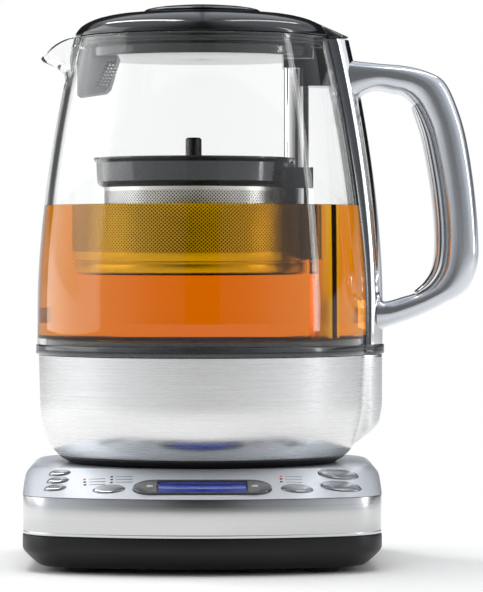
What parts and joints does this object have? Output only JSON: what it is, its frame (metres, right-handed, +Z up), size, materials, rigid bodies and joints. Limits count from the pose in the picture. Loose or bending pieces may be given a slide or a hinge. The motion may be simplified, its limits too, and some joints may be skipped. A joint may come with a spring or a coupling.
{
  "type": "automatic tea maker",
  "caption": "Glass jug on a cordless silver power base, with a perforated tea basket that a motor lifts along a steel rail, and a handle on the right.",
  "frame": {"origin": "on the table, where the vertical axis of the jug meets it, in the middle of the centre foot under the power base", "axes": "+Z up; +X towards the handle, with the spout towards -X; the buttons and the display face -Y"},
  "size_m": [0.2066, 0.1764, 0.2539],
  "materials": {
    "black_shell": "satin black moulded plastic",
    "brushed_band": "fine horizontal brushing",
    "silver_paint": "fine metallic silver, satin",
    "dark_gloss": "polished dark grey",
    "blue_display": "lit blue display behind a clear window",
    "board": "green solder mask",
    "red_lamp": "small indicator lenses",
    "contact_brass": "bare contact metal",
    "rubber_feet": "matte rubber",
    "screw_steel": "plain zinc-plated steel",
    "button_grey": "silver lacquer under gloss",
    "brushed_pot": "brushed around the pot",
    "grey_seal": "soft silicone",
    "plate_steel": "satin plate steel",
    "polished_steel": "mirror polished",
    "clear_glass": "clear borosilicate glass",
    "slate_gloss": "slate grey, glossy",
    "handle_silver": "silver lacquer, glossy",
    "lid_gloss": "gloss black",
    "filter_grey": "mid grey, slightly translucent",
    "mesh_steel": "perforated polished sheet",
    "white_plastic": "natural acetal"
  },
  "bodies": {
    "power_base": {"base_tray": "black_shell", "base_band": "brushed_band", "base_top": "silver_paint", "display_bezel": "dark_gloss", "display_lens": "blue_display", "display_module": "board", "control_board": "board", "key_switches": "black_shell", "indicator_leds": "red_lamp", "power_board": "board", "coupler_socket": "black_shell", "coupler_contacts": "contact_brass", "cord_gland": "black_shell", "rubber_feet": "rubber_feet", "base_screws": "screw_steel"},
    "jug": {"jug_sole": "black_shell", "jug_connector": "black_shell", "connector_pins": "contact_brass", "steel_pot": "brushed_pot", "jug_ring": "dark_gloss", "jug_gasket": "grey_seal", "heating_plate": "plate_steel", "heating_element": "plate_steel", "plate_thermostat": "black_shell", "lift_motor": "screw_steel", "motor_bracket": "screw_steel", "rail_tube": "polished_steel", "rail_cap": "dark_gloss", "glass_jug": "clear_glass", "spine_backing": "slate_gloss", "spine_cover": "polished_steel", "handle_grip": "handle_silver", "handle_liner": "polished_steel", "handle_screws": "screw_steel", "rail_block": "slate_gloss"},
    "lid": {"lid_cover": "lid_gloss", "lid_knob": "lid_gloss", "lid_skirt": "slate_gloss", "lid_seal": "grey_seal", "spout_filter": "filter_grey"},
    "basket": {"basket_collar": "slate_gloss", "basket_cup": "mesh_steel", "basket_magnets": "screw_steel"},
    "basket_lid": {"basket_lid": "slate_gloss", "basket_lid_knob": "lid_gloss"},
    "lift_carriage": {"lift_carriage": "white_plastic", "carriage_magnets": "screw_steel"},
    "lift_screw": {"lead_screw": "screw_steel"},
    "key_left_back": {"button_left_back": "button_grey"},
    "key_left_middle": {"button_left_middle": "button_grey"},
    "key_left_front": {"button_left_front": "button_grey"},
    "key_front_left": {"button_front_left": "button_grey"},
    "key_minus": {"button_minus": "button_grey"},
    "key_plus": {"button_plus": "button_grey"},
    "key_front_right": {"button_front_right": "button_grey"},
    "key_right_back": {"button_right_back": "button_grey"},
    "key_right_front": {"button_right_front": "button_grey"}
  },
  "joints": [
    {"name": "jug_lift", "type": "slide", "parent": "power_base", "child": "jug", "axis": [0, 0, 1], "range_m": [0, 0.1]},
    {"name": "lid_lift", "type": "slide", "parent": "jug", "child": "lid", "axis": [0, 0, 1], "range_m": [0, 0.06]},
    {"name": "basket_slide", "type": "slide", "parent": "jug", "child": "basket", "axis": [0, 0, 1], "range_m": [-0.026, 0.026]},
    {"name": "basket_lid_lift", "type": "slide", "parent": "basket", "child": "basket_lid", "axis": [0, 0, 1], "range_m": [0, 0.022]},
    {"name": "carriage_slide", "type": "slide", "parent": "jug", "child": "lift_carriage", "axis": [0, 0, 1], "range_m": [-0.026, 0.026]},
    {"name": "screw_spin", "type": "hinge", "parent": "jug", "child": "lift_screw", "pos_m": [0.0433, 0, 0.15], "axis": [0, 0, 1], "range_deg": [-650, 650]},
    {"name": "press_left_back", "type": "slide", "parent": "power_base", "child": "key_left_back", "axis": [0.1408, 0.2893, -0.9468], "range_m": [0, 0.0008], "stiffness_N_per_m": 400},
    {"name": "press_left_middle", "type": "slide", "parent": "power_base", "child": "key_left_middle", "axis": [0.1421, 0.2893, -0.9466], "range_m": [0, 0.0008], "stiffness_N_per_m": 400},
    {"name": "press_left_front", "type": "slide", "parent": "power_base", "child": "key_left_front", "axis": [0.1443, 0.2892, -0.9463], "range_m": [0, 0.0008], "stiffness_N_per_m": 400},
    {"name": "press_front_left", "type": "slide", "parent": "power_base", "child": "key_front_left", "axis": [0.086, 0.2911, -0.9528], "range_m": [0, 0.0008], "stiffness_N_per_m": 400},
    {"name": "press_minus", "type": "slide", "parent": "power_base", "child": "key_minus", "axis": [0.0486, 0.2919, -0.9552], "range_m": [0, 0.0008], "stiffness_N_per_m": 400},
    {"name": "press_plus", "type": "slide", "parent": "power_base", "child": "key_plus", "axis": [-0.0486, 0.2919, -0.9552], "range_m": [0, 0.0008], "stiffness_N_per_m": 400},
    {"name": "press_front_right", "type": "slide", "parent": "power_base", "child": "key_front_right", "axis": [-0.0874, 0.2911, -0.9527], "range_m": [0, 0.0008], "stiffness_N_per_m": 400},
    {"name": "press_right_back", "type": "slide", "parent": "power_base", "child": "key_right_back", "axis": [-0.1327, 0.2896, -0.9479], "range_m": [0, 0.0008], "stiffness_N_per_m": 400},
    {"name": "press_right_front", "type": "slide", "parent": "power_base", "child": "key_right_front", "axis": [-0.1343, 0.2896, -0.9477], "range_m": [0, 0.0008], "stiffness_N_per_m": 400}
  ],
  "couplings": [
    {"joint": "carriage_slide", "follows": "basket_slide", "ratio": 1},
    {"joint": "screw_spin", "follows": "basket_slide", "rad_per_m": 392.7}
  ]
}
